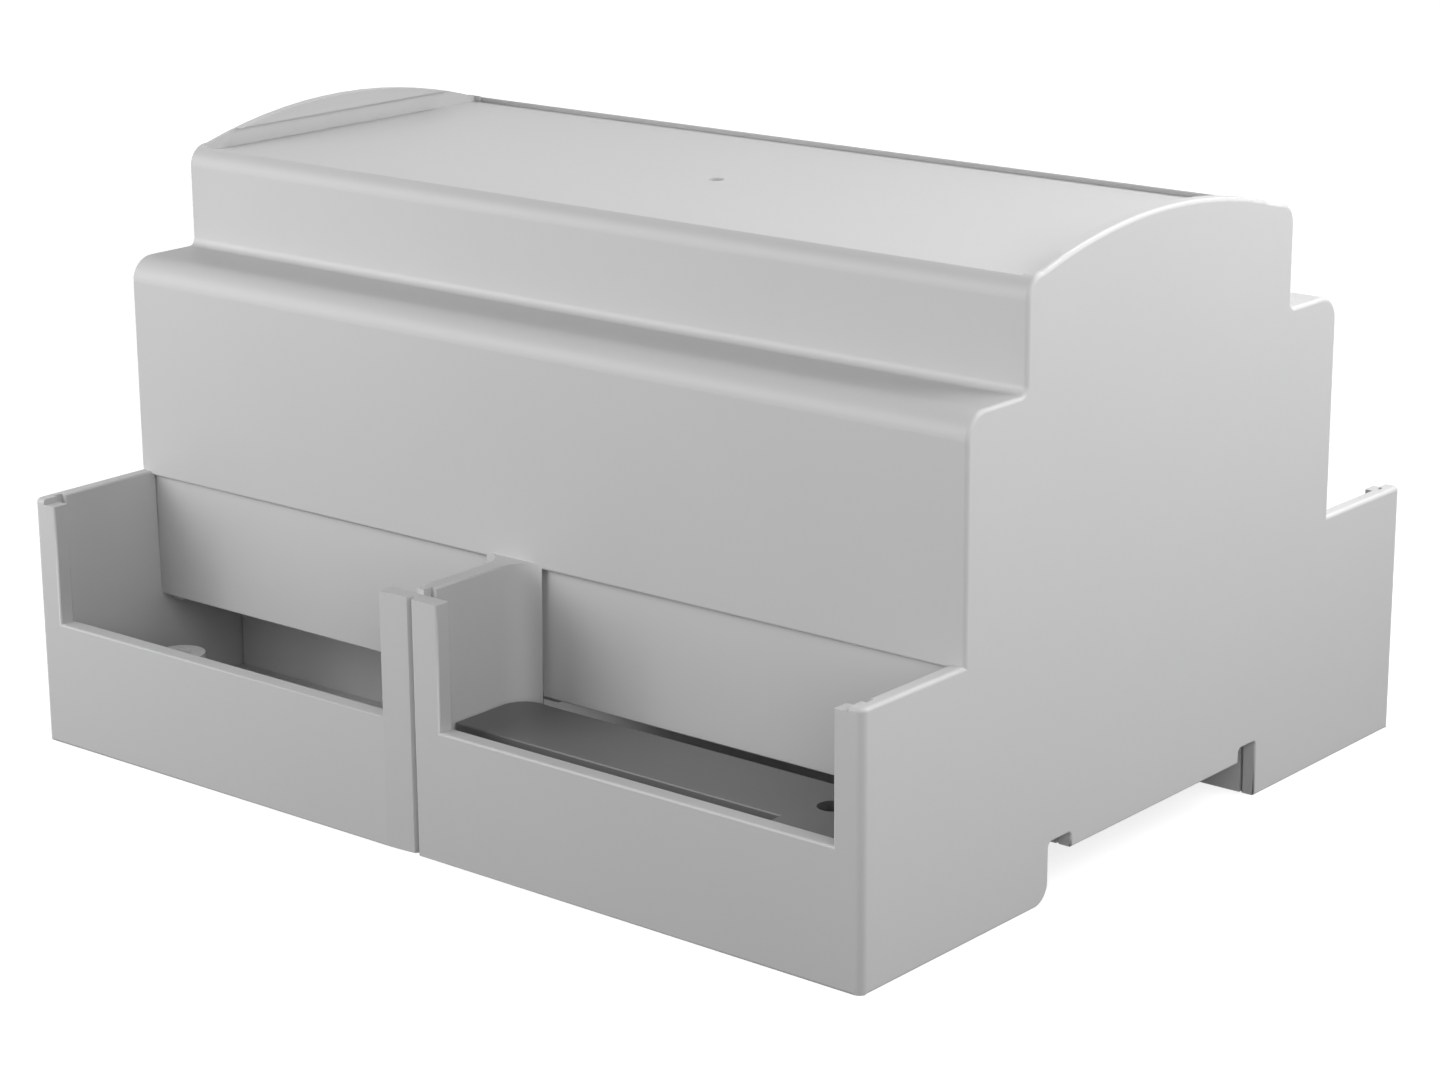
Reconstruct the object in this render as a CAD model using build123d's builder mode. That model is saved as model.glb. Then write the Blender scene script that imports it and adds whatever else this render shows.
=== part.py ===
"""Empty six-module enclosure for a 35 mm mounting rail, without front panel or terminal covers.

X runs along the rail, the front side is at -Y, and Z points away from the rail. The origin lies
midway along the length and the depth, on the plane that the feet stand on. Sizes are in mm.
"""

import os

from build123d import *

os.makedirs("parts", exist_ok=True)

# Overall form, seen on the end: a low trough on each side, a middle body and an upper body
LENGTH = 106.25
DEPTH = 90.0
HEIGHT = 61.7
TROUGH_WIDTH = 12.7
TROUGH_TOP = 25.9
STEP_WIDTH = 8.6
UPPER_RISE = 10.5
CREST_RISE = 2.8

# Roundings of the outer form
STEP_RADIUS = 2.5
SHOULDER_RADIUS = 2.2
SHOULDER_FLAT = 0.1
INNER_CORNER_RADIUS = 0.8
POST_CORNER_RADIUS = 0.8
END_EDGE_RADIUS = 0.4

# How close to a corner or an edge one is looked for
NEAR = 0.01

# Walls
WALL = 1.8
END_WALL = 1.5
ROOF = 1.9

# Seat for a snap-in front panel on top: undercut lips, and a groove under each arched end wall
LIP_WIDTH = 1.4
LIP_HEIGHT = 0.8
LIP_UNDERCUT = 0.5
PANEL_GROOVE_HEIGHT = 1.8
PANEL_GROOVE_DEPTH = 0.8
GATE_DIAMETER = 1.7
GATE_DEPTH = 0.3

# Terminal troughs: windows in the outer walls, posts between them and a dividing wall
SILL = 13.0
END_POST = 3.1
CENTRE_POST = 7.4
POST_DROP = 0.5
DIVIDER = 1.8
COVER_SLOT_WIDTH = 1.0
COVER_SLOT_DEPTH = 0.5
SEAM_WIDTH = 0.9
SEAM_DEPTH = 0.6
SEAM_LEAD = 3.2
SEAM_LEAD_DEPTH = 0.35

# Partition plates that close the body towards each trough
PARTITION_DROP = 0.6
PARTITION_HEADROOM = 0.4
PARTITION_THICKNESS = 1.2
PARTITION_RECESS = 0.6
PARTITION_GROOVE = 1.2
PARTITION_END_GROOVE = 0.5
PARTITION_LEDGE = 0.8
PARTITION_GAP = 0.1
CENTRE_PILASTER = 7.2
END_PILASTER = 1.6
PILASTER_BACK = 0.9

# Guide ribs for upright circuit boards on the inside of the end walls
GUIDE_PITCH = 17.0
GUIDE_COUNT = 3
GUIDE_SLOT = 1.9
GUIDE_RIB = 1.2
GUIDE_HEIGHT = 1.5
GUIDE_BOTTOM = 14.0
GUIDE_HEADROOM = 2.9

# Rail channel: a standard rail is 35 wide, with edges 1 thick
RAIL_WIDTH = 35.0
RAIL_EDGE = 1.0
RAIL_PLAY = 0.5
CHANNEL_SHIFT = 0.6
CHANNEL_DEPTH = 4.2
RELIEF_FRONT_WIDTH = 3.6
RELIEF_REAR_WIDTH = 3.1
RELIEF_RISE = 1.5
RELIEF_RADIUS = 0.5
FOOT_RADIUS = 2.0

# Base moulding, snapped in from below
FIT = 0.15
FLOOR = 1.8
TONGUE_X = 38.0
TONGUE_WIDTH = 8.0
TONGUE_THICKNESS = 1.2
TONGUE_TOP = 9.0
NOSE_BOTTOM = 6.4
NOSE_HEIGHT = 1.8
NOSE_DEPTH = 0.7
POCKET_GAP = 0.2
POST_FROM_END = 9.0
POST_DIAMETER = 5.0
POST_HOLE_DIAMETER = 2.2
BOARD_THICKNESS = 1.6
STIFFENER = 1.2
STIFFENER_TOP = 4.4

# Rail hooks in front and sliding latches behind
LATCH_X = 26.5
LATCH_WIDTH = 14.0
LATCH_BOTTOM = 0.3
LATCH_CLEARANCE = 0.2
LATCH_TRAVEL = 4.0
HOOK_REACH = 1.8
HOOK_FACE = 0.7
HOOK_RAMP = 2.0
FLANGE_WIDTH = 1.5
FLANGE_SETBACK = 4.8
FLANGE_GAP = 0.15
ARM_SLOT_WIDTH = 1.2
ARM_ROOT = 5.0
BUMP_RADIUS = 0.6
BUMP_REACH = 0.35
GUIDE_RAIL = 1.4
GUIDE_RAIL_LIP = 1.0
GUIDE_RAIL_ROOF = 1.0
TOOL_SLOT_LENGTH = 6.0
TOOL_SLOT_WIDTH = 1.2
TOOL_SLOT_EDGE = 1.1
TOOL_NOTCH_WIDTH = 8.0
TOOL_NOTCH_RISE = 3.5

# Floor plate fitted in the right-hand troughs
TROUGH_FLOOR_DROP = 0.8
TROUGH_FLOOR_THICKNESS = 1.5
TROUGH_FLOOR_SLIT = 3.0
TROUGH_FLOOR_GAP = 0.5
TROUGH_FLOOR_TAB = 11.0
TROUGH_FLOOR_SKIRT = 1.3
TROUGH_FLOOR_SKIRT_DROP = 2.5
TROUGH_FLOOR_HOLE_DIAMETER = 2.8

# Sizes that follow from the ones above
MIDDLE_DEPTH = DEPTH - 2 * (WALL + TROUGH_WIDTH)
UPPER_DEPTH = MIDDLE_DEPTH - 2 * STEP_WIDTH
SHOULDER_TOP = HEIGHT - CREST_RISE
MIDDLE_TOP = SHOULDER_TOP - UPPER_RISE
CREST_HALF = UPPER_DEPTH / 2 - SHOULDER_RADIUS - SHOULDER_FLAT
SEAT_TOP = SHOULDER_TOP - LIP_HEIGHT
SEAT_DEPTH = UPPER_DEPTH - 2 * LIP_WIDTH
INNER_LENGTH = LENGTH - 2 * END_WALL
TROUGH_LENGTH = (INNER_LENGTH - DIVIDER) / 2
TROUGH_PITCH_X = TROUGH_LENGTH + DIVIDER
TROUGH_PITCH_Y = MIDDLE_DEPTH + TROUGH_WIDTH
WINDOW_LENGTH = (LENGTH - CENTRE_POST) / 2 - END_POST
WINDOW_PITCH = WINDOW_LENGTH + CENTRE_POST
WALL_INSIDE = DEPTH / 2 - WALL
BODY_INSIDE = MIDDLE_DEPTH / 2 - WALL
GUIDE_TOP = MIDDLE_TOP - WALL - GUIDE_HEADROOM
PARTITION_BOTTOM = SILL - PARTITION_DROP
PARTITION_TOP = TROUGH_TOP - PARTITION_HEADROOM
PILASTER_DEPTH = PARTITION_RECESS + PARTITION_THICKNESS + PARTITION_GAP + PILASTER_BACK
PARTITION_START = CENTRE_PILASTER / 2 - PARTITION_GROOVE
PARTITION_END = INNER_LENGTH / 2 + PARTITION_END_GROOVE
DIVIDER_ROOT_RADIUS = (CENTRE_PILASTER - DIVIDER) / 2
PARTITION_FACE = MIDDLE_DEPTH / 2 - PARTITION_RECESS
CHANNEL_WIDTH = RAIL_WIDTH + RAIL_PLAY
CHANNEL_FRONT = CHANNEL_SHIFT - CHANNEL_WIDTH / 2
CHANNEL_REAR = CHANNEL_SHIFT + CHANNEL_WIDTH / 2
RELIEF_TOP = CHANNEL_DEPTH + RELIEF_RISE
BASE_LENGTH = INNER_LENGTH - 2 * FIT
BASE_HALF_DEPTH = WALL_INSIDE - FIT
LATCH_TOP = CHANNEL_DEPTH - RAIL_EDGE - LATCH_CLEARANCE
LATCH_END = DEPTH / 2
NOSE_END = CHANNEL_REAR - RAIL_PLAY / 2 - HOOK_REACH
FLANGE_START = CHANNEL_REAR + FLOOR + FLANGE_SETBACK
FLANGE_END = WALL_INSIDE - LATCH_CLEARANCE - LATCH_TRAVEL
FLANGE_LENGTH = FLANGE_END - FLANGE_START
BUMP_Y = FLANGE_END - BUMP_RADIUS
TROUGH_FLOOR_TOP = SILL - TROUGH_FLOOR_DROP
TROUGH_FLOOR_BOTTOM = TROUGH_FLOOR_TOP - TROUGH_FLOOR_THICKNESS
TROUGH_FLOOR_WIDTH = TROUGH_WIDTH - TROUGH_FLOOR_GAP - TROUGH_FLOOR_SLIT
POST_X = INNER_LENGTH / 2 - POST_FROM_END
POST_Y = MIDDLE_DEPTH / 2 + TROUGH_FLOOR_GAP + TROUGH_FLOOR_WIDTH / 2
POST_TOP = TROUGH_FLOOR_BOTTOM - BOARD_THICKNESS


def corners_at(outline, half_depth, height):
    """The two corners of an end outline that mirror each other at this depth and height."""
    return [
        corner
        for corner in outline.vertices()
        if abs(abs(corner.X) - half_depth) < NEAR and abs(corner.Y - height) < NEAR
    ]


# Stepped outline of the end, with its arched crest
with BuildSketch(Plane.YZ) as end_outline:
    with BuildLine():
        front = Polyline(
            (0, 0),
            (-DEPTH / 2, 0),
            (-DEPTH / 2, TROUGH_TOP),
            (-MIDDLE_DEPTH / 2, TROUGH_TOP),
            (-MIDDLE_DEPTH / 2, MIDDLE_TOP),
            (-UPPER_DEPTH / 2, MIDDLE_TOP),
            (-UPPER_DEPTH / 2, SHOULDER_TOP),
            (-CREST_HALF, SHOULDER_TOP),
        )
        ThreePointArc(front @ 1, (0, HEIGHT), (CREST_HALF, SHOULDER_TOP))
        mirror(front, about=Plane.YZ)
    make_face()
    fillet(corners_at(end_outline, UPPER_DEPTH / 2, SHOULDER_TOP), SHOULDER_RADIUS)
    fillet(corners_at(end_outline, MIDDLE_DEPTH / 2, MIDDLE_TOP), STEP_RADIUS)
    fillet(corners_at(end_outline, UPPER_DEPTH / 2, MIDDLE_TOP), INNER_CORNER_RADIUS)

# Hollow of the middle and upper body, open downwards
with BuildSketch(Plane.YZ) as cavity_outline:
    with BuildLine():
        Polyline(
            (-BODY_INSIDE, 0),
            (-BODY_INSIDE, MIDDLE_TOP - WALL),
            (WALL - UPPER_DEPTH / 2, MIDDLE_TOP - WALL),
            (WALL - UPPER_DEPTH / 2, SEAT_TOP - ROOF),
            (UPPER_DEPTH / 2 - WALL, SEAT_TOP - ROOF),
            (UPPER_DEPTH / 2 - WALL, MIDDLE_TOP - WALL),
            (BODY_INSIDE, MIDDLE_TOP - WALL),
            (BODY_INSIDE, 0),
            close=True,
        )
    make_face()

# Rail channel: one foot corner is rounded, and both upper corners are relieved
with BuildSketch(Plane.YZ) as channel_outline:
    with BuildLine():
        swing = ThreePointArc(
            (CHANNEL_FRONT - FOOT_RADIUS, 0),
            (CHANNEL_FRONT - FOOT_RADIUS * (1 - 0.5**0.5), FOOT_RADIUS * (1 - 0.5**0.5)),
            (CHANNEL_FRONT, FOOT_RADIUS),
        )
        Polyline(
            swing @ 1,
            (CHANNEL_FRONT, RELIEF_TOP),
            (CHANNEL_FRONT + RELIEF_FRONT_WIDTH, RELIEF_TOP),
            (CHANNEL_FRONT + RELIEF_FRONT_WIDTH, CHANNEL_DEPTH),
            (CHANNEL_REAR - RELIEF_REAR_WIDTH, CHANNEL_DEPTH),
            (CHANNEL_REAR - RELIEF_REAR_WIDTH, RELIEF_TOP),
            (CHANNEL_REAR, RELIEF_TOP),
            (CHANNEL_REAR, 0),
            swing @ 0,
        )
    make_face()
    fillet([v for v in channel_outline.vertices() if v.Y > RELIEF_TOP - NEAR], RELIEF_RADIUS)


# One-piece upper moulding
with BuildPart() as housing:
    extrude(end_outline.sketch, amount=LENGTH / 2, both=True)

    # Rounded post corners and softened rim of each end face
    uprights = housing.edges().filter_by(Axis.Z)
    fillet([e for e in uprights if abs(e.center().Y) > DEPTH / 2 - NEAR], POST_CORNER_RADIUS)
    rims = [e for e in housing.edges() if abs(e.center().X) > LENGTH / 2 - NEAR]
    fillet([e for e in rims if e.center().Z > TROUGH_TOP - NEAR], END_EDGE_RADIUS)

    # The crest stays on the end walls alone, over a seat for the front panel. The lips of the
    # seat lean inwards, and each end of the panel would go into a groove
    with BuildSketch(Plane.YZ):
        with BuildLine():
            Polyline(
                (-UPPER_DEPTH / 2, HEIGHT),
                (-UPPER_DEPTH / 2, SHOULDER_TOP),
                (-SEAT_DEPTH / 2, SHOULDER_TOP),
                (-SEAT_DEPTH / 2 - LIP_UNDERCUT, SEAT_TOP),
                (SEAT_DEPTH / 2 + LIP_UNDERCUT, SEAT_TOP),
                (SEAT_DEPTH / 2, SHOULDER_TOP),
                (UPPER_DEPTH / 2, SHOULDER_TOP),
                (UPPER_DEPTH / 2, HEIGHT),
                close=True,
            )
        make_face()
    extrude(amount=INNER_LENGTH / 2, both=True, mode=Mode.SUBTRACT)
    with BuildSketch(Plane.XY.offset(SEAT_TOP)):
        Rectangle(INNER_LENGTH + 2 * PANEL_GROOVE_DEPTH, SEAT_DEPTH)
    extrude(amount=PANEL_GROOVE_HEIGHT, mode=Mode.SUBTRACT)
    with BuildSketch(Plane.XY.offset(SEAT_TOP)):
        Circle(GATE_DIAMETER / 2)
    extrude(amount=-GATE_DEPTH, mode=Mode.SUBTRACT)

    # Hollow body, open below
    extrude(cavity_outline.sketch, amount=INNER_LENGTH / 2, both=True, mode=Mode.SUBTRACT)

    # Four terminal troughs
    with BuildSketch(Plane.XY):
        with GridLocations(TROUGH_PITCH_X, TROUGH_PITCH_Y, 2, 2):
            Rectangle(TROUGH_LENGTH, TROUGH_WIDTH)
    extrude(amount=TROUGH_TOP, mode=Mode.SUBTRACT)

    for side in (-1, 1):
        # Windows between the posts, whose tops stay a little below the end walls
        with BuildSketch(Plane.XZ.offset(side * (DEPTH - WALL) / 2)):
            with Locations((0, (SILL + TROUGH_TOP) / 2)):
                with GridLocations(WINDOW_PITCH, 1, 2, 1):
                    Rectangle(WINDOW_LENGTH, TROUGH_TOP - SILL)
            with Locations((0, TROUGH_TOP - POST_DROP / 2)):
                Rectangle(INNER_LENGTH, POST_DROP)
        extrude(amount=WALL / 2, both=True, mode=Mode.SUBTRACT)

        # Seam down the middle of the outer wall, with a shallow lead on its left
        with BuildSketch(Plane.XY):
            with BuildLine():
                Polyline(
                    (-SEAM_WIDTH / 2 - SEAM_LEAD, side * DEPTH / 2),
                    (-SEAM_WIDTH / 2, side * (DEPTH / 2 - SEAM_LEAD_DEPTH)),
                    (0, side * (DEPTH / 2 - SEAM_LEAD_DEPTH - SEAM_DEPTH)),
                    (SEAM_WIDTH / 2, side * DEPTH / 2),
                    close=True,
                )
            make_face()
        extrude(amount=TROUGH_TOP, mode=Mode.SUBTRACT)

        # Upright slots behind the posts, for a terminal cover
        with BuildSketch(Plane.XY.offset(SILL)):
            with Locations((0, side * (WALL_INSIDE - COVER_SLOT_WIDTH / 2))):
                with GridLocations(TROUGH_PITCH_X, 1, 2, 1):
                    Rectangle(TROUGH_LENGTH + 2 * COVER_SLOT_DEPTH, COVER_SLOT_WIDTH)
        extrude(amount=TROUGH_TOP - SILL, mode=Mode.SUBTRACT)

        # Openings towards each trough: the partition plates close them from 12 mm up
        with BuildSketch(Plane.XZ.offset(side * (MIDDLE_DEPTH - WALL) / 2)):
            with Locations((0, PARTITION_TOP / 2)):
                Rectangle(INNER_LENGTH, PARTITION_TOP)
        extrude(amount=WALL / 2, both=True, mode=Mode.SUBTRACT)

        # Pilaster in the middle and stops at the ends, with the grooves for the plates
        groove_width = PARTITION_THICKNESS + PARTITION_GAP
        pilaster_bottom = PARTITION_BOTTOM - PARTITION_LEDGE
        pilaster_back = MIDDLE_DEPTH / 2 - PILASTER_DEPTH
        with BuildSketch(Plane.XY.offset(pilaster_bottom)):
            with Locations((0, side * (MIDDLE_DEPTH - PILASTER_DEPTH) / 2)):
                Rectangle(CENTRE_PILASTER, PILASTER_DEPTH)
            with Locations((0, side * (pilaster_back + PILASTER_BACK / 2))):
                with GridLocations(INNER_LENGTH - END_PILASTER, 1, 2, 1):
                    Rectangle(END_PILASTER, PILASTER_BACK)
        extrude(amount=TROUGH_TOP + WALL - pilaster_bottom)
        with BuildSketch(Plane.XY.offset(PARTITION_BOTTOM)):
            with Locations((0, side * (PARTITION_FACE - groove_width / 2))):
                with GridLocations(PARTITION_START + PARTITION_END, 1, 2, 1):
                    Rectangle(PARTITION_END - PARTITION_START, groove_width)
        extrude(amount=PARTITION_TOP - PARTITION_BOTTOM, mode=Mode.SUBTRACT)

        # Wide hollow roundings where the dividing wall meets that pilaster
        with BuildSketch(Plane.XY.offset(pilaster_bottom)):
            with Locations((0, side * (MIDDLE_DEPTH + DIVIDER_ROOT_RADIUS) / 2)):
                Rectangle(CENTRE_PILASTER, DIVIDER_ROOT_RADIUS)
            with Locations((0, side * (MIDDLE_DEPTH / 2 + DIVIDER_ROOT_RADIUS))):
                with GridLocations(CENTRE_PILASTER, 1, 2, 1):
                    Circle(DIVIDER_ROOT_RADIUS, mode=Mode.SUBTRACT)
        extrude(amount=TROUGH_TOP - pilaster_bottom)

        # Dividing wall, cut short above the floor of the base
        with BuildSketch(Plane.XY):
            with Locations((0, side * TROUGH_PITCH_Y / 2)):
                Rectangle(DIVIDER, TROUGH_WIDTH)
        extrude(amount=FLOOR + FIT, mode=Mode.SUBTRACT)

        # Pockets for the snap tongues of the base
        with BuildSketch(Plane.XZ.offset(side * WALL_INSIDE)):
            with Locations((0, NOSE_BOTTOM + NOSE_HEIGHT / 2)):
                with GridLocations(2 * TONGUE_X, 1, 2, 1):
                    Rectangle(TONGUE_WIDTH + 2 * POCKET_GAP, NOSE_HEIGHT + 2 * POCKET_GAP)
        extrude(amount=side * (NOSE_DEPTH + POCKET_GAP), mode=Mode.SUBTRACT)

    # Guide ribs for upright circuit boards
    for end in (-1, 1):
        with BuildSketch(Plane.XY.offset(GUIDE_BOTTOM)):
            with Locations((end * (INNER_LENGTH - GUIDE_HEIGHT) / 2, 0)):
                with GridLocations(1, GUIDE_PITCH, 1, GUIDE_COUNT):
                    with GridLocations(1, GUIDE_SLOT + GUIDE_RIB, 1, 2):
                        Rectangle(GUIDE_HEIGHT, GUIDE_RIB)
        extrude(amount=GUIDE_TOP - GUIDE_BOTTOM)

    # Rail channel through both end walls
    extrude(channel_outline.sketch, amount=LENGTH / 2, both=True, mode=Mode.SUBTRACT)

    # Notches in the rear wall for the latches and for the blade that pulls them
    with BuildSketch(Plane.XZ.offset(WALL / 2 - DEPTH / 2)):
        with Locations((0, (LATCH_TOP + LATCH_CLEARANCE) / 2)):
            with GridLocations(2 * LATCH_X, 1, 2, 1):
                Rectangle(LATCH_WIDTH + 2 * LATCH_CLEARANCE, LATCH_TOP + LATCH_CLEARANCE)
        with Locations((0, (LATCH_TOP + TOOL_NOTCH_RISE) / 2)):
            with GridLocations(2 * LATCH_X, 1, 2, 1):
                Rectangle(TOOL_NOTCH_WIDTH, LATCH_TOP + TOOL_NOTCH_RISE)
    extrude(amount=WALL / 2, both=True, mode=Mode.SUBTRACT)

housing.part.label = "housing"


# Base moulding: two feet, joined over the rail channel
with BuildPart() as base:
    channel_wall_front = CHANNEL_FRONT - FLOOR
    channel_wall_rear = CHANNEL_REAR + FLOOR
    with BuildSketch(Plane.YZ):
        with BuildLine():
            Polyline(
                (-BASE_HALF_DEPTH, 0),
                (-BASE_HALF_DEPTH, FLOOR),
                (channel_wall_front, FLOOR),
                (channel_wall_front, RELIEF_TOP + FLOOR),
                (CHANNEL_FRONT + RELIEF_FRONT_WIDTH + FLOOR, RELIEF_TOP + FLOOR),
                (CHANNEL_FRONT + RELIEF_FRONT_WIDTH + FLOOR, CHANNEL_DEPTH + FLOOR),
                (CHANNEL_REAR - RELIEF_REAR_WIDTH - FLOOR, CHANNEL_DEPTH + FLOOR),
                (CHANNEL_REAR - RELIEF_REAR_WIDTH - FLOOR, RELIEF_TOP + FLOOR),
                (channel_wall_rear, RELIEF_TOP + FLOOR),
                (channel_wall_rear, FLOOR),
                (BASE_HALF_DEPTH, FLOOR),
                (BASE_HALF_DEPTH, 0),
                close=True,
            )
        make_face()
    extrude(amount=BASE_LENGTH / 2, both=True)
    extrude(channel_outline.sketch, amount=LENGTH / 2, both=True, mode=Mode.SUBTRACT)

    # Fixed hooks for the front edge of the rail
    hook_tip = CHANNEL_FRONT + RAIL_PLAY / 2 + HOOK_REACH
    for hook_x in (-LATCH_X, LATCH_X):
        with BuildSketch(Plane.YZ.offset(hook_x)):
            with BuildLine():
                Polyline(
                    (CHANNEL_FRONT - FLOOR / 2, LATCH_TOP),
                    (hook_tip, LATCH_TOP),
                    (hook_tip, LATCH_TOP - HOOK_FACE),
                    (hook_tip - HOOK_RAMP, LATCH_BOTTOM),
                    (CHANNEL_FRONT - FLOOR / 2, LATCH_BOTTOM),
                    close=True,
                )
            make_face()
        extrude(amount=LATCH_WIDTH / 2, both=True)

    # Snap tongues along the outer walls
    for side in (-1, 1):
        for tongue_x in (-TONGUE_X, TONGUE_X):
            with BuildSketch(Plane.YZ.offset(tongue_x)):
                with BuildLine():
                    Polyline(
                        (side * (BASE_HALF_DEPTH - TONGUE_THICKNESS), 0),
                        (side * BASE_HALF_DEPTH, 0),
                        (side * BASE_HALF_DEPTH, NOSE_BOTTOM),
                        (side * (WALL_INSIDE + NOSE_DEPTH), NOSE_BOTTOM),
                        (side * BASE_HALF_DEPTH, NOSE_BOTTOM + NOSE_HEIGHT),
                        (side * BASE_HALF_DEPTH, TONGUE_TOP),
                        (side * (BASE_HALF_DEPTH - TONGUE_THICKNESS), TONGUE_TOP),
                        close=True,
                    )
                make_face()
            extrude(amount=TONGUE_WIDTH / 2, both=True)

        # Stiffening rib along each foot, broken by the dividing wall and later by the latches
        rib_length = (BASE_LENGTH - DIVIDER) / 2 - FIT
        with BuildSketch(Plane.XY):
            with Locations((0, side * (BASE_HALF_DEPTH - STIFFENER / 2))):
                with GridLocations(BASE_LENGTH - rib_length, 1, 2, 1):
                    Rectangle(rib_length, STIFFENER)
        extrude(amount=STIFFENER_TOP)

    # Screw posts near the corners, for a flat circuit board that reaches under the trough floors
    with BuildSketch(Plane.XY):
        with GridLocations(2 * POST_X, 2 * POST_Y, 2, 2):
            Circle(POST_DIAMETER / 2)
    extrude(amount=POST_TOP)
    with BuildSketch(Plane.XY.offset(POST_TOP)):
        with GridLocations(2 * POST_X, 2 * POST_Y, 2, 2):
            Circle(POST_HOLE_DIAMETER / 2)
    extrude(amount=FLOOR - POST_TOP, mode=Mode.SUBTRACT)

    flange_half = LATCH_WIDTH / 2 + FLANGE_WIDTH
    for latch_x in (-LATCH_X, LATCH_X):
        # Guide rails that hold the latch down, joined by a bridge that stops its flanges
        rail_half = flange_half + LATCH_CLEARANCE
        roof_bottom = LATCH_TOP + LATCH_CLEARANCE
        roof_top = roof_bottom + GUIDE_RAIL_ROOF
        rail_start = FLANGE_START - LATCH_CLEARANCE / 2
        rail_length = BASE_HALF_DEPTH - rail_start
        rail_y = rail_start + rail_length / 2
        with BuildSketch(Plane.XY):
            with Locations((latch_x, rail_y - GUIDE_RAIL / 2)):
                Rectangle(2 * (rail_half + GUIDE_RAIL), rail_length + GUIDE_RAIL)
        extrude(amount=roof_top)
        with BuildSketch(Plane.XY.offset(FLOOR)):
            with Locations((latch_x, rail_y)):
                Rectangle(2 * rail_half, rail_length)

            # Wider where the bumps of the arms travel
            with Locations((latch_x, BUMP_Y + LATCH_TRAVEL / 2)):
                Rectangle(
                    2 * (rail_half + BUMP_REACH),
                    LATCH_TRAVEL + 2 * (BUMP_RADIUS + LATCH_CLEARANCE),
                )
        extrude(amount=roof_bottom - FLOOR, mode=Mode.SUBTRACT)
        with BuildSketch(Plane.XY):
            with Locations((latch_x, rail_y)):
                Rectangle(2 * (flange_half - GUIDE_RAIL_LIP), rail_length)
        extrude(amount=max(roof_top, STIFFENER_TOP), mode=Mode.SUBTRACT)

        # Slot in the foot that the latch runs in, open to the channel and to the rear
        slot_length = BASE_HALF_DEPTH - CHANNEL_REAR
        with BuildSketch(Plane.XY):
            with Locations((latch_x, CHANNEL_REAR + slot_length / 2)):
                Rectangle(LATCH_WIDTH + 2 * LATCH_CLEARANCE, slot_length)
        extrude(amount=roof_bottom, mode=Mode.SUBTRACT)

base.part.label = "base"


# Two sliding latches, each a moulding with a nose under the rail and two springy side arms
latches = {}
for name, latch_x in (("rail_latch_left", -LATCH_X), ("rail_latch_right", LATCH_X)):
    with BuildPart() as latch:
        with BuildSketch(Plane.YZ.offset(latch_x)):
            with BuildLine():
                Polyline(
                    (NOSE_END, LATCH_TOP),
                    (NOSE_END, LATCH_TOP - HOOK_FACE),
                    (NOSE_END + HOOK_RAMP, LATCH_BOTTOM),
                    (LATCH_END, LATCH_BOTTOM),
                    (LATCH_END, LATCH_TOP),
                    close=True,
                )
            make_face()
        extrude(amount=LATCH_WIDTH / 2, both=True)

        # Side flanges that ride on the floor of the foot, with a bump on each side
        bump_pitch = 2 * (flange_half + BUMP_REACH - BUMP_RADIUS)
        with BuildSketch(Plane.XY.offset(FLOOR + FLANGE_GAP)):
            with Locations((latch_x, FLANGE_START + FLANGE_LENGTH / 2)):
                Rectangle(2 * flange_half, FLANGE_LENGTH)
            with Locations((latch_x, BUMP_Y)):
                with GridLocations(bump_pitch, 1, 2, 1):
                    Circle(BUMP_RADIUS)
        extrude(amount=LATCH_TOP - FLOOR - FLANGE_GAP)

        # Slots that free the outer part of each flange as an arm
        arm_length = FLANGE_LENGTH - ARM_ROOT
        arm_slot_x = LATCH_WIDTH / 2 + ARM_SLOT_WIDTH / 2 - FLANGE_WIDTH / 2
        with BuildSketch(Plane.XY):
            with Locations((latch_x, FLANGE_END - arm_length / 2)):
                with GridLocations(2 * arm_slot_x, 1, 2, 1):
                    Rectangle(ARM_SLOT_WIDTH, arm_length)
        extrude(amount=LATCH_TOP, mode=Mode.SUBTRACT)

        # Slot for the screwdriver blade that pulls the latch
        with BuildSketch(Plane.XY):
            with Locations((latch_x, LATCH_END - TOOL_SLOT_EDGE - TOOL_SLOT_WIDTH / 2)):
                Rectangle(TOOL_SLOT_LENGTH, TOOL_SLOT_WIDTH)
        extrude(amount=LATCH_TOP, mode=Mode.SUBTRACT)
    latch.part.label = name
    latches[name] = latch.part


# Partition plates, bowed into the grooves of the pilasters
plates = {}
for depth_name, side in (("front", -1), ("rear", 1)):
    for end_name, end in (("left", -1), ("right", 1)):
        plate_x = end * (PARTITION_START + PARTITION_END) / 2
        plate_y = side * (PARTITION_FACE - PARTITION_THICKNESS / 2)
        with BuildPart() as plate:
            with BuildSketch(Plane.XY.offset(PARTITION_BOTTOM)):
                with Locations((plate_x, plate_y)):
                    Rectangle(PARTITION_END - PARTITION_START - 2 * FIT, PARTITION_THICKNESS)
            extrude(amount=PARTITION_TOP - PARTITION_BOTTOM - FIT)
        name = f"partition_{depth_name}_{end_name}"
        plate.part.label = name
        plates[name] = plate.part


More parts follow.
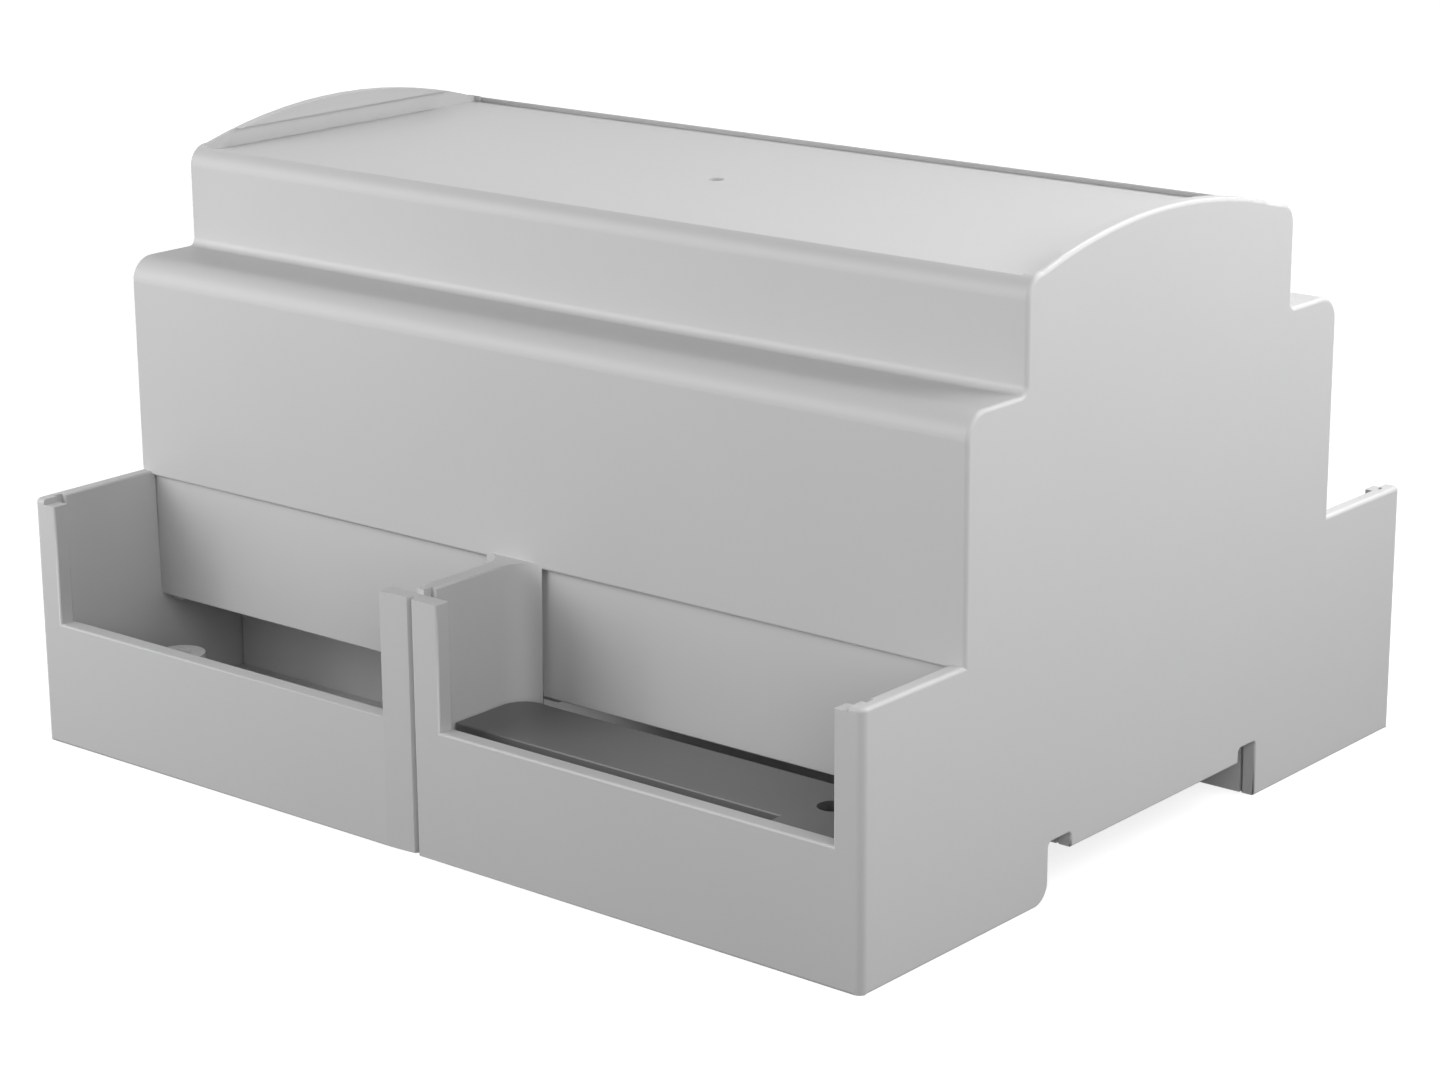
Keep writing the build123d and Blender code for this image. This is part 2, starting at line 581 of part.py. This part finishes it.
# Floor plates of the two right-hand troughs
floors = {}
for depth_name, side in (("front", -1), ("rear", 1)):
    floor_length = TROUGH_LENGTH - 2 * FIT
    floor_x = TROUGH_PITCH_X / 2
    floor_back = MIDDLE_DEPTH / 2 + TROUGH_FLOOR_GAP
    floor_front = floor_back + TROUGH_FLOOR_WIDTH
    tab_x = floor_x + (floor_length - TROUGH_FLOOR_TAB) / 2
    with BuildPart() as trough_floor:
        with BuildSketch(Plane.XY.offset(TROUGH_FLOOR_BOTTOM)) as floor_outline:
            with Locations((floor_x, side * (floor_back + TROUGH_FLOOR_WIDTH / 2))):
                Rectangle(floor_length, TROUGH_FLOOR_WIDTH)
            with Locations((tab_x, side * (floor_back + BASE_HALF_DEPTH) / 2)):
                Rectangle(TROUGH_FLOOR_TAB, BASE_HALF_DEPTH - floor_back)
            with Locations((POST_X, side * POST_Y)):
                Circle(TROUGH_FLOOR_HOLE_DIAMETER / 2, mode=Mode.SUBTRACT)

            # The corner beside the dividing wall follows the rounding there
            inner_corners = floor_outline.vertices().group_by(Axis.X)[0]
            fillet(inner_corners.sort_by(Axis.Y)[0 if side > 0 else -1], DIVIDER_ROOT_RADIUS)
        extrude(amount=TROUGH_FLOOR_THICKNESS)

        # Stiffening skirt under the outer edge, clear of the guide rails of the latches
        with BuildSketch(Plane.XY.offset(TROUGH_FLOOR_BOTTOM)):
            with Locations((floor_x, side * (floor_front - TROUGH_FLOOR_SKIRT / 2))):
                Rectangle(floor_length, TROUGH_FLOOR_SKIRT)
        extrude(amount=-TROUGH_FLOOR_SKIRT_DROP)

        # End legs, standing on the floor of the base
        with BuildSketch(Plane.XY.offset(FLOOR)):
            with Locations((floor_x, side * (floor_front - TROUGH_FLOOR_WIDTH / 2))):
                with GridLocations(floor_length - TROUGH_FLOOR_SKIRT, 1, 2, 1):
                    Rectangle(TROUGH_FLOOR_SKIRT, TROUGH_FLOOR_WIDTH)
        extrude(amount=TROUGH_FLOOR_BOTTOM - FLOOR)
    name = f"trough_floor_{depth_name}"
    trough_floor.part.label = name
    floors[name] = trough_floor.part


export_step(housing.part, "parts/housing.step")
export_step(base.part, "parts/base.step")
for name, solid in {**latches, **plates, **floors}.items():
    export_step(solid, f"parts/{name}.step")
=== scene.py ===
"""Looks of the empty rail enclosure: grey moulded plastic on a white studio floor. Metres, +Z up."""

import math

import bmesh
import bpy
from mathutils import Matrix, Vector


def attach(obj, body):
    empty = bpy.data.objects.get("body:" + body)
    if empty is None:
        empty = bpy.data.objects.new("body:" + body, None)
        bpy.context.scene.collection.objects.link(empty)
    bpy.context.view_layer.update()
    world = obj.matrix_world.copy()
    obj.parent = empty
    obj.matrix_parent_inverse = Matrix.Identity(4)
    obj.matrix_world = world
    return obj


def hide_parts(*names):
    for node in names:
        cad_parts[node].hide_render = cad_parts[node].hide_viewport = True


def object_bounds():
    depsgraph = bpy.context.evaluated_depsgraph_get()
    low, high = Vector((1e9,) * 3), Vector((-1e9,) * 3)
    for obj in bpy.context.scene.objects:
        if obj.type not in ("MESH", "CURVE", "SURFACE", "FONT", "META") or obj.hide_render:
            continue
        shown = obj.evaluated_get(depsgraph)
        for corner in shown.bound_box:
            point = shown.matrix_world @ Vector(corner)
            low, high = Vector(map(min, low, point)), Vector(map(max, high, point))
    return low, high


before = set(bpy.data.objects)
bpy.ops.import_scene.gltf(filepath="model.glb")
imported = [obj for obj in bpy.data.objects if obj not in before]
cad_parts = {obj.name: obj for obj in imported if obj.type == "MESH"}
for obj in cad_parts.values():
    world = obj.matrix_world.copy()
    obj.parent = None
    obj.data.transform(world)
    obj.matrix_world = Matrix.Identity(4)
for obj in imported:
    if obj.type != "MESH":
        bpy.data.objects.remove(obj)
cad_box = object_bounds()

# Camera: a long lens in front of the right-hand end, a little above the enclosure. It is placed
# by its distance and angles from the point that it looks at, near the middle of the base.
LENS_MM = 88.75
AIM = Vector((0.00021, 0.0, 0.02082))
DISTANCE = 0.3629
AZIMUTH = math.radians(39.84)
ELEVATION = math.radians(16.24)
ROLL = math.radians(-0.38)
NEAREST_SEEN = 0.01


def direction(azimuth, elevation):
    """The way from the enclosure towards a lamp or lens. Azimuth 0 is the front, 90 the right end."""
    return Vector(
        (
            math.sin(azimuth) * math.cos(elevation),
            -math.cos(azimuth) * math.cos(elevation),
            math.sin(elevation),
        )
    )


backwards = direction(AZIMUTH, ELEVATION)
sideways = Vector((0, 0, 1)).cross(backwards).normalized()
upwards = backwards.cross(sideways)
upright = Matrix((sideways, upwards, backwards)).transposed()
camera = bpy.data.objects.new("camera", bpy.data.cameras.new("camera"))
bpy.context.collection.objects.link(camera)
camera.data.lens = LENS_MM
camera.data.clip_start = NEAREST_SEEN
camera.matrix_world = (
    Matrix.Translation(AIM + DISTANCE * backwards)
    @ upright.to_4x4()
    @ Matrix.Rotation(ROLL, 4, "Z")
)
bpy.context.scene.camera = camera

# Housing: the stepped upper moulding, one shot of light grey plastic with a fine matt mould grain.
# Its end outlines and long outer edges are slightly rounded, and the four upright corners of the
# troughs a little more.
LIGHT_GREY = (0.55, 0.552, 0.553)
HALF_LENGTH = cad_box[1][0]
HALF_DEPTH = cad_box[1][1]
EDGE_ROUNDING = 0.0002
CORNER_ROUNDING = 0.0005
LONG_EDGE = 0.004
SEAM_SIDE = -0.0037
ON_A_FACE = 0.00001
WELD_GAP = 0.000002
FLAT_ANGLE = math.radians(0.3)
SQUARE_ANGLE = math.radians(50)
CREASE_ANGLE = math.radians(1)
ROUNDING_STEPS = 3
MOTTLE_SCALE = 60.0
MOTTLE_DETAIL = 4.0
MOTTLE_TINT = 0.02
MOTTLE_GLOSS = 0.04
GRAIN_SCALE = 9000.0
GRAIN_DETAIL = 2.0
GRAIN_DEPTH = 0.00001


def moulded_plastic(name, colour, roughness, grain=0.3):
    """Plastic with a faint mottle in its tint and gloss, and the fine grain of its mould."""
    material = bpy.data.materials.new(name)
    material.use_nodes = True
    nodes, links = material.node_tree.nodes, material.node_tree.links
    shader = nodes["Principled BSDF"]
    place = nodes.new("ShaderNodeTexCoord")
    mottle = nodes.new("ShaderNodeTexNoise")
    mottle.inputs["Scale"].default_value = MOTTLE_SCALE
    mottle.inputs["Detail"].default_value = MOTTLE_DETAIL
    links.new(place.outputs["Object"], mottle.inputs["Vector"])
    tint = nodes.new("ShaderNodeMix")
    tint.data_type = "RGBA"
    tint.inputs["A"].default_value = (*[c * (1 - MOTTLE_TINT) for c in colour], 1)
    tint.inputs["B"].default_value = (*[c * (1 + MOTTLE_TINT) for c in colour], 1)
    links.new(mottle.outputs["Fac"], tint.inputs["Factor"])
    links.new(tint.outputs["Result"], shader.inputs["Base Color"])
    gloss = nodes.new("ShaderNodeMapRange")
    gloss.inputs["To Min"].default_value = roughness - MOTTLE_GLOSS
    gloss.inputs["To Max"].default_value = roughness + MOTTLE_GLOSS
    links.new(mottle.outputs["Fac"], gloss.inputs["Value"])
    links.new(gloss.outputs["Result"], shader.inputs["Roughness"])
    texture = nodes.new("ShaderNodeTexNoise")
    texture.inputs["Scale"].default_value = GRAIN_SCALE
    texture.inputs["Detail"].default_value = GRAIN_DETAIL
    links.new(place.outputs["Object"], texture.inputs["Vector"])
    bump = nodes.new("ShaderNodeBump")
    bump.inputs["Strength"].default_value = grain
    bump.inputs["Distance"].default_value = GRAIN_DEPTH
    links.new(texture.outputs["Fac"], bump.inputs["Height"])
    links.new(bump.outputs["Normal"], shader.inputs["Normal"])
    return material


def spot(point):
    """A point's place in whole steps of the weld gap, so that points that coincide compare equal."""
    return tuple(round(value / WELD_GAP) for value in point)


def creases(mesh):
    """The edges where the solid's own shading breaks, each by the places of its two ends."""
    normals = {}
    for triangle in mesh.polygons:
        ends = list(zip(triangle.vertices, triangle.loop_indices))
        for (v0, loop0), (v1, loop1) in zip(ends, ends[1:] + ends[:1]):
            here, there = spot(mesh.vertices[v0].co), spot(mesh.vertices[v1].co)
            sides = normals.setdefault(frozenset((here, there)), [])
            sides.append(
                {here: mesh.corner_normals[loop0].vector, there: mesh.corner_normals[loop1].vector}
            )
    return {
        edge
        for edge, sides in normals.items()
        if len(sides) == 2
        and any(sides[0][end].angle(sides[1][end], 0.0) > CREASE_ANGLE for end in edge)
    }


def eased(node_name, piece_name, material, rounding_of):
    """A moulding as it leaves the mould: the solid's outer edges rounded, each as rounding_of says."""
    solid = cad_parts[node_name].data
    breaks = creases(solid)
    form = bmesh.new()
    form.from_mesh(solid)
    bmesh.ops.remove_doubles(form, verts=form.verts, dist=WELD_GAP)
    for edge in form.edges:
        edge.smooth = frozenset(spot(vertex.co) for vertex in edge.verts) not in breaks
    for face in form.faces:
        face.smooth = True
    bmesh.ops.dissolve_limit(
        form, angle_limit=FLAT_ANGLE, verts=form.verts, edges=form.edges, delimit={"SHARP"}
    )
    form.normal_update()
    share = form.edges.layers.float.new("bevel_weight_edge")
    for edge in form.edges:
        square = edge.is_convex and edge.calc_face_angle(0) > SQUARE_ANGLE
        edge[share] = rounding_of(edge) / CORNER_ROUNDING if square else 0.0
    mesh = bpy.data.meshes.new(piece_name)
    form.to_mesh(mesh)
    form.free()
    mesh.materials.append(material)
    piece = bpy.data.objects.new(piece_name, mesh)
    bpy.context.collection.objects.link(piece)
    rounding = piece.modifiers.new("eased edges", "BEVEL")
    rounding.limit_method = "WEIGHT"
    rounding.width = CORNER_ROUNDING
    rounding.segments = ROUNDING_STEPS
    rounding.use_clamp_overlap = False
    rounding.loop_slide = False
    weighted = piece.modifiers.new("flat faces stay flat", "WEIGHTED_NORMAL")
    weighted.keep_sharp = True
    return piece


def housing_rounding(edge):
    """How far an outer edge is rounded. The window edge beside the seam's lead-in stays sharp."""
    ends = [vertex.co for vertex in edge.verts]
    on_end_face = all(abs(abs(end.x) - HALF_LENGTH) < ON_A_FACE for end in ends)
    on_long_wall = all(abs(abs(end.y) - HALF_DEPTH) < ON_A_FACE for end in ends)
    beside_seam = all(abs(end.x - SEAM_SIDE) < ON_A_FACE for end in ends)
    if on_end_face and on_long_wall:
        return CORNER_ROUNDING
    if beside_seam:
        return 0.0
    if on_end_face or edge.calc_length() > LONG_EDGE:
        return EDGE_ROUNDING
    return 0.0


light_grey = moulded_plastic("light grey satin plastic", LIGHT_GREY, roughness=0.5)
housing = eased("housing", "housing_moulding", light_grey, housing_rounding)
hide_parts("housing")
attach(housing, "enclosure")

# Base: the lower moulding with the feet, hooks and screw posts, from the same light grey plastic.
# It snaps up into the housing, so only its underside and the floor behind the windows show.
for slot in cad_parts["base"].material_slots:
    slot.material = light_grey

# Partition plates: four flat strips of the housing's plastic. Each slides down into the grooves
# between two pilasters and closes the body towards its trough.
PLATE_ROUNDING = 0.00015
for depth in ("front", "rear"):
    for end in ("left", "right"):
        plate = eased(
            f"partition_{depth}_{end}",
            f"partition_plate_{depth}_{end}",
            light_grey,
            lambda edge: PLATE_ROUNDING,
        )
        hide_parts(f"partition_{depth}_{end}")
        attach(plate, "enclosure")

# Trough floors: two thin plates that lie in the right-hand troughs. Each has a skirt under its outer
# edge and stands on two end legs, with a hole over the screw post. Their darker grey is partly their
# own colour and partly painted shade of the deep troughs.
DARK_GREY_WITH_PAINTED_SHADE = (0.155, 0.155, 0.158)
SHORT_EDGE = 0.001
dark_grey_with_painted_shade = moulded_plastic("mid grey satin plastic with painted trough shade", DARK_GREY_WITH_PAINTED_SHADE, roughness=0.45)
for depth in ("front", "rear"):
    floor_plate = eased(
        f"trough_floor_{depth}",
        f"trough_floor_plate_{depth}",
        dark_grey_with_painted_shade,
        lambda edge: PLATE_ROUNDING if edge.calc_length() > SHORT_EDGE else 0.0,
    )
    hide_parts(f"trough_floor_{depth}")
    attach(floor_plate, "enclosure")

# Rail latches: two flat sliders with springy side arms, moulded in a tougher grey plastic that is
# a shade smoother. They run in the slots of the rear foot and hook under the rail.
LATCH_GREY = (0.5, 0.503, 0.505)
latch_grey = moulded_plastic("latch grey plastic", LATCH_GREY, roughness=0.36, grain=0.15)
for end in ("left", "right"):
    latch = eased(
        f"rail_latch_{end}",
        f"rail_latch_slider_{end}",
        latch_grey,
        lambda edge: PLATE_ROUNDING,
    )
    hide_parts(f"rail_latch_{end}")
    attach(latch, f"latch_{end}")

# Studio floor: a flat matt floor that the lens and reflections see as white, with the shadow of
# the enclosure on it. Away from the lamps its own glow rises to full white. Bounced light finds it
# dark, so that it hardly lights the enclosure from below.
FLOOR_SIZE = 6.0
FLOOR_BOUNCE = 0.06
FLOOR_GLOW = 0.8
FLOOR_SHADE = 0.35
GLOW_RISES_FROM = 0.2
WHITE_FROM = 0.7


def seen_directly(nodes, links):
    """1 for the lens, reflections and clear plastic, 0 for light that bounces off matt surfaces."""
    path = nodes.new("ShaderNodeLightPath")
    total = path.outputs["Is Camera Ray"]
    for ray in ("Is Glossy Ray", "Is Transmission Ray"):
        add = nodes.new("ShaderNodeMath")
        add.operation = "ADD"
        links.new(total, add.inputs[0])
        links.new(path.outputs[ray], add.inputs[1])
        total = add.outputs["Value"]
    return total


bpy.ops.mesh.primitive_plane_add(size=FLOOR_SIZE, location=(0, 0, 0))
floor = bpy.context.object
floor.name = "floor"
sweep = bpy.data.materials.new("white sweep")
sweep.use_nodes = True
nodes, links = sweep.node_tree.nodes, sweep.node_tree.links
nodes.remove(nodes["Principled BSDF"])
bounce = nodes.new("ShaderNodeBsdfDiffuse")
bounce.inputs["Color"].default_value = (FLOOR_BOUNCE, FLOOR_BOUNCE, FLOOR_BOUNCE, 1)
shade = nodes.new("ShaderNodeBsdfDiffuse")
shade.inputs["Color"].default_value = (FLOOR_SHADE, FLOOR_SHADE, FLOOR_SHADE, 1)
glow = nodes.new("ShaderNodeEmission")
place = nodes.new("ShaderNodeTexCoord")
away = nodes.new("ShaderNodeVectorMath")
away.operation = "LENGTH"
links.new(place.outputs["Object"], away.inputs[0])
rise = nodes.new("ShaderNodeMapRange")
rise.inputs["From Min"].default_value = GLOW_RISES_FROM
rise.inputs["From Max"].default_value = WHITE_FROM
rise.inputs["To Min"].default_value = FLOOR_GLOW
rise.inputs["To Max"].default_value = 1.0
links.new(away.outputs["Value"], rise.inputs["Value"])
links.new(rise.outputs["Result"], glow.inputs["Strength"])
white = nodes.new("ShaderNodeAddShader")
links.new(shade.outputs["BSDF"], white.inputs[0])
links.new(glow.outputs["Emission"], white.inputs[1])
mix = nodes.new("ShaderNodeMixShader")
links.new(seen_directly(nodes, links), mix.inputs["Fac"])
links.new(bounce.outputs["BSDF"], mix.inputs[1])
links.new(white.outputs["Shader"], mix.inputs[2])
links.new(mix.outputs["Shader"], nodes["Material Output"].inputs["Surface"])
floor.data.materials.append(sweep)

# Lamps: four small softboxes close around the enclosure, and two larger ones further back for the
# panel seat. The studio itself adds a faint fill. Each row holds a name, the azimuth and elevation
# in degrees, the distance and size in metres and the power in watts.
LAMPS_AIM = Vector((0, 0, 0.03))
SOFTBOXES = (
    ("right_rear", 115, 38, 0.21, 0.12, 0.23),
    ("front_left_low", 315, 24, 0.23, 0.12, 0.145),
    ("front_left_high", 338, 26, 0.25, 0.12, 0.195),
    ("front_right", 54, 25, 0.24, 0.13, 0.19),
    ("behind", 180, 45, 1.5, 0.5, 12.0),
    ("behind_left", 225, 50, 1.5, 0.5, 1.0),
)
for name, azimuth, elevation, distance, size, power in SOFTBOXES:
    lamp = bpy.data.objects.new(name, bpy.data.lights.new(name, "AREA"))
    bpy.context.collection.objects.link(lamp)
    lamp.data.shape = "SQUARE"
    lamp.data.size = size
    lamp.data.energy = power
    towards = direction(math.radians(azimuth), math.radians(elevation))
    lamp.location = distance * towards
    lamp.rotation_euler = (LAMPS_AIM - lamp.location).to_track_quat("-Z", "Y").to_euler()
    lamp.visible_camera = False

FILL = 0.05
world = bpy.data.worlds.new("studio")
bpy.context.scene.world = world
world.use_nodes = True
nodes, links = world.node_tree.nodes, world.node_tree.links
fill = nodes["Background"]
fill.inputs["Color"].default_value = (1, 1, 1, 1)
fill.inputs["Strength"].default_value = FILL
backdrop = nodes.new("ShaderNodeBackground")
backdrop.inputs["Color"].default_value = (1, 1, 1, 1)
mix = nodes.new("ShaderNodeMixShader")
links.new(seen_directly(nodes, links), mix.inputs["Fac"])
links.new(fill.outputs["Background"], mix.inputs[1])
links.new(backdrop.outputs["Background"], mix.inputs[2])
links.new(mix.outputs["Shader"], nodes["World Output"].inputs["Surface"])

bpy.context.scene.view_settings.view_transform = "Standard"
